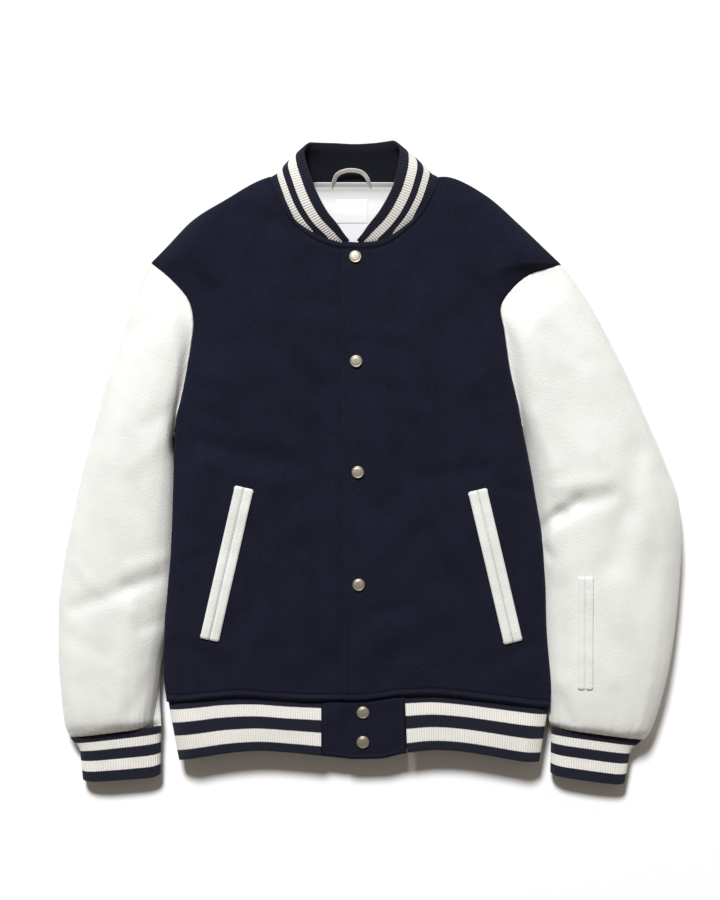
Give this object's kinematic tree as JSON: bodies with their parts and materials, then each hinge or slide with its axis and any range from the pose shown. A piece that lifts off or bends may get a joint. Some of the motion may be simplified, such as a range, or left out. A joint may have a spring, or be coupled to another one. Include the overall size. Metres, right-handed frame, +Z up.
{
  "type": "varsity jacket",
  "caption": "Varsity jacket laid out flat: wool body, leather sleeves and welt pockets, striped rib collar, cuffs and hem, snap front.",
  "frame": {"origin": "on the surface the jacket lies on, under the middle of its back", "axes": "+Y from hem to collar, +X to the wearer's left, +Z up from the surface through the back and the front"},
  "size_m": [0.732, 0.755, 0.065],
  "materials": {
    "wool": "brushed melton wool with a short nap",
    "leather": "off-white, fine pebble grain, soft sheen",
    "rib_knit": "rib knit, navy with white stripes",
    "lining": "smooth white lining",
    "tape": "cream woven tape",
    "snap_metal": "satin, slightly warm"
  },
  "bodies": {
    "root": {"front_right": "wool", "front_left": "wool", "back": "wool", "hem_tab_right": "wool", "hem_tab_left": "wool", "sleeve_top_right": "leather", "sleeve_under_right": "leather", "sleeve_top_left": "leather", "sleeve_under_left": "leather", "pocket_welt_right_outer": "leather", "pocket_welt_right_inner": "leather", "pocket_welt_left_outer": "leather", "pocket_welt_left_inner": "leather", "sleeve_pocket_welt_outer": "leather", "sleeve_pocket_welt_inner": "leather", "cuff_right": "rib_knit", "cuff_left": "rib_knit", "collar_rib": "rib_knit", "hem_rib": "rib_knit", "neck_lining": "lining", "label_patch": "lining", "hanger_loop": "tape", "snap_1": "snap_metal", "snap_2": "snap_metal", "snap_3": "snap_metal", "snap_4": "snap_metal", "snap_5": "snap_metal", "snap_6": "snap_metal"}
  },
  "joints": []
}
